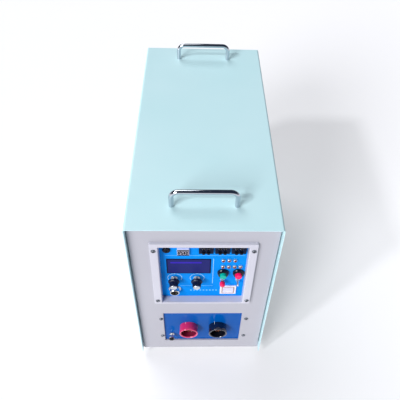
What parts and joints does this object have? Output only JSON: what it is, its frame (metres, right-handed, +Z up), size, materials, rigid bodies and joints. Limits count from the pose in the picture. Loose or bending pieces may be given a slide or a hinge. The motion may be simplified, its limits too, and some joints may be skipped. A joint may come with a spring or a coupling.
{
  "type": "induction heating machine",
  "caption": "Free-standing water-cooled induction heater: sheet-metal cabinet with a sunk control panel, output terminals, handles and a rear fan.",
  "frame": {"origin": "bottom centre of the machine's bounding box, on the floor under the feet", "axes": "+Z up, +Y to the rear panel, +X to the right as seen from the control panel"},
  "size_m": [0.277, 0.5868, 0.5095],
  "materials": {
    "cover": "satin",
    "base_tray": "satin",
    "front_panel": "satin",
    "rear_panel": "satin",
    "rubber_feet": "matte",
    "machine_screws": "plated",
    "front_handle": "polished",
    "rear_handle": "polished",
    "bezel_frame": "satin",
    "control_plate": "gloss",
    "screen_window": "tinted gloss",
    "digit_display": "gloss",
    "dial_switch_cases": "satin",
    "number_wheels": "satin",
    "dial_1_tens_plus": "satin",
    "dial_1_tens_minus": "satin",
    "dial_1_units_plus": "satin",
    "dial_1_units_minus": "satin",
    "dial_2_tens_plus": "satin",
    "dial_2_tens_minus": "satin",
    "dial_2_units_plus": "satin",
    "dial_2_units_minus": "satin",
    "dial_3_tens_plus": "satin",
    "dial_3_tens_minus": "satin",
    "dial_3_units_plus": "satin",
    "dial_3_units_minus": "satin",
    "potentiometers": "plated",
    "left_knob": "satin",
    "right_knob": "satin",
    "foot_switch_socket": "plated",
    "socket_insert": "satin",
    "alarm_buzzer": "satin",
    "lamp_bezels": "plated",
    "lamp_lenses": "gloss",
    "push_switch_bodies": "satin",
    "start_button": "gloss",
    "stop_button": "gloss",
    "toggle_switch_bodies": "plated",
    "left_toggle_lever": "plated",
    "left_lever_sleeve": "gloss",
    "right_toggle_lever": "plated",
    "power_switch_frame": "satin",
    "power_rocker": "satin",
    "output_plate": "gloss",
    "red_terminal": "gloss",
    "black_terminal": "gloss",
    "output_unions": "machined copper",
    "earth_post": "plated",
    "fan_frame": "satin",
    "fan_rotor": "satin",
    "fan_guard": "plated",
    "water_nipples": "machined",
    "cable_gland": "satin",
    "transformer_core": "ferrite",
    "transformer_winding": "copper",
    "capacitor_bank": "satin",
    "heat_sink": "extruded",
    "power_modules": "satin",
    "circuit_boards": "solder mask",
    "cooling_hoses": "satin"
  },
  "bodies": {
    "cabinet": {"cover": "cover", "base_tray": "base_tray", "front_panel": "front_panel", "rear_panel": "rear_panel", "rubber_feet": "rubber_feet", "machine_screws": "machine_screws", "front_handle": "front_handle", "rear_handle": "rear_handle", "bezel_frame": "bezel_frame", "control_plate": "control_plate", "screen_window": "screen_window", "digit_display": "digit_display", "dial_switch_cases": "dial_switch_cases", "number_wheels": "number_wheels", "potentiometers": "potentiometers", "foot_switch_socket": "foot_switch_socket", "socket_insert": "socket_insert", "alarm_buzzer": "alarm_buzzer", "lamp_bezels": "lamp_bezels", "lamp_lenses": "lamp_lenses", "push_switch_bodies": "push_switch_bodies", "toggle_switch_bodies": "toggle_switch_bodies", "power_switch_frame": "power_switch_frame", "output_plate": "output_plate", "red_terminal": "red_terminal", "black_terminal": "black_terminal", "output_unions": "output_unions", "earth_post": "earth_post", "fan_frame": "fan_frame", "fan_guard": "fan_guard", "water_nipples": "water_nipples", "cable_gland": "cable_gland", "transformer_core": "transformer_core", "transformer_winding": "transformer_winding", "capacitor_bank": "capacitor_bank", "heat_sink": "heat_sink", "power_modules": "power_modules", "circuit_boards": "circuit_boards", "cooling_hoses": "cooling_hoses"},
    "dial_1_tens_plus": {"dial_1_tens_plus": "dial_1_tens_plus"},
    "dial_1_tens_minus": {"dial_1_tens_minus": "dial_1_tens_minus"},
    "dial_1_units_plus": {"dial_1_units_plus": "dial_1_units_plus"},
    "dial_1_units_minus": {"dial_1_units_minus": "dial_1_units_minus"},
    "dial_2_tens_plus": {"dial_2_tens_plus": "dial_2_tens_plus"},
    "dial_2_tens_minus": {"dial_2_tens_minus": "dial_2_tens_minus"},
    "dial_2_units_plus": {"dial_2_units_plus": "dial_2_units_plus"},
    "dial_2_units_minus": {"dial_2_units_minus": "dial_2_units_minus"},
    "dial_3_tens_plus": {"dial_3_tens_plus": "dial_3_tens_plus"},
    "dial_3_tens_minus": {"dial_3_tens_minus": "dial_3_tens_minus"},
    "dial_3_units_plus": {"dial_3_units_plus": "dial_3_units_plus"},
    "dial_3_units_minus": {"dial_3_units_minus": "dial_3_units_minus"},
    "start_button": {"start_button": "start_button"},
    "stop_button": {"stop_button": "stop_button"},
    "left_knob": {"left_knob": "left_knob"},
    "right_knob": {"right_knob": "right_knob"},
    "left_toggle": {"left_toggle_lever": "left_toggle_lever", "left_lever_sleeve": "left_lever_sleeve"},
    "right_toggle": {"right_toggle_lever": "right_toggle_lever"},
    "power_rocker": {"power_rocker": "power_rocker"},
    "fan_rotor": {"fan_rotor": "fan_rotor"}
  },
  "joints": [
    {"name": "dial_1_tens_plus_press", "type": "slide", "parent": "cabinet", "child": "dial_1_tens_plus", "axis": [0, 1, 0], "range_m": [0, 0.0018], "stiffness_N_per_m": 150, "springref_m": -0.0018},
    {"name": "dial_1_tens_minus_press", "type": "slide", "parent": "cabinet", "child": "dial_1_tens_minus", "axis": [0, 1, 0], "range_m": [0, 0.0018], "stiffness_N_per_m": 150, "springref_m": -0.0018},
    {"name": "dial_1_units_plus_press", "type": "slide", "parent": "cabinet", "child": "dial_1_units_plus", "axis": [0, 1, 0], "range_m": [0, 0.0018], "stiffness_N_per_m": 150, "springref_m": -0.0018},
    {"name": "dial_1_units_minus_press", "type": "slide", "parent": "cabinet", "child": "dial_1_units_minus", "axis": [0, 1, 0], "range_m": [0, 0.0018], "stiffness_N_per_m": 150, "springref_m": -0.0018},
    {"name": "dial_2_tens_plus_press", "type": "slide", "parent": "cabinet", "child": "dial_2_tens_plus", "axis": [0, 1, 0], "range_m": [0, 0.0018], "stiffness_N_per_m": 150, "springref_m": -0.0018},
    {"name": "dial_2_tens_minus_press", "type": "slide", "parent": "cabinet", "child": "dial_2_tens_minus", "axis": [0, 1, 0], "range_m": [0, 0.0018], "stiffness_N_per_m": 150, "springref_m": -0.0018},
    {"name": "dial_2_units_plus_press", "type": "slide", "parent": "cabinet", "child": "dial_2_units_plus", "axis": [0, 1, 0], "range_m": [0, 0.0018], "stiffness_N_per_m": 150, "springref_m": -0.0018},
    {"name": "dial_2_units_minus_press", "type": "slide", "parent": "cabinet", "child": "dial_2_units_minus", "axis": [0, 1, 0], "range_m": [0, 0.0018], "stiffness_N_per_m": 150, "springref_m": -0.0018},
    {"name": "dial_3_tens_plus_press", "type": "slide", "parent": "cabinet", "child": "dial_3_tens_plus", "axis": [0, 1, 0], "range_m": [0, 0.0018], "stiffness_N_per_m": 150, "springref_m": -0.0018},
    {"name": "dial_3_tens_minus_press", "type": "slide", "parent": "cabinet", "child": "dial_3_tens_minus", "axis": [0, 1, 0], "range_m": [0, 0.0018], "stiffness_N_per_m": 150, "springref_m": -0.0018},
    {"name": "dial_3_units_plus_press", "type": "slide", "parent": "cabinet", "child": "dial_3_units_plus", "axis": [0, 1, 0], "range_m": [0, 0.0018], "stiffness_N_per_m": 150, "springref_m": -0.0018},
    {"name": "dial_3_units_minus_press", "type": "slide", "parent": "cabinet", "child": "dial_3_units_minus", "axis": [0, 1, 0], "range_m": [0, 0.0018], "stiffness_N_per_m": 150, "springref_m": -0.0018},
    {"name": "start_button_press", "type": "slide", "parent": "cabinet", "child": "start_button", "axis": [0, 1, 0], "range_m": [0, 0.003], "stiffness_N_per_m": 250, "springref_m": -0.003},
    {"name": "stop_button_press", "type": "slide", "parent": "cabinet", "child": "stop_button", "axis": [0, 1, 0], "range_m": [0, 0.003], "stiffness_N_per_m": 250, "springref_m": -0.003},
    {"name": "left_knob_turn", "type": "hinge", "parent": "cabinet", "child": "left_knob", "pos_m": [-0.0555, -0.26865, 0.297], "axis": [0, -1, 0], "range_deg": [-150, 150]},
    {"name": "right_knob_turn", "type": "hinge", "parent": "cabinet", "child": "right_knob", "pos_m": [-0.0118, -0.26865, 0.297], "axis": [0, -1, 0], "range_deg": [-150, 150]},
    {"name": "left_toggle_flip", "type": "hinge", "parent": "cabinet", "child": "left_toggle", "pos_m": [0.0378, -0.27165, 0.2935], "axis": [-1, 0, 0], "range_deg": [0, 24]},
    {"name": "right_toggle_flip", "type": "hinge", "parent": "cabinet", "child": "right_toggle", "pos_m": [0.0673, -0.27165, 0.2935], "axis": [-1, 0, 0], "range_deg": [0, 24]},
    {"name": "power_rocker_tip", "type": "hinge", "parent": "cabinet", "child": "power_rocker", "pos_m": [0.0507, -0.26795, 0.2556], "axis": [-1, 0, 0], "range_deg": [0, 16]},
    {"name": "fan_spin", "type": "hinge", "parent": "cabinet", "child": "fan_rotor", "pos_m": [0, 0.25985, 0.34], "axis": [0, 1, 0], "continuous": true}
  ]
}
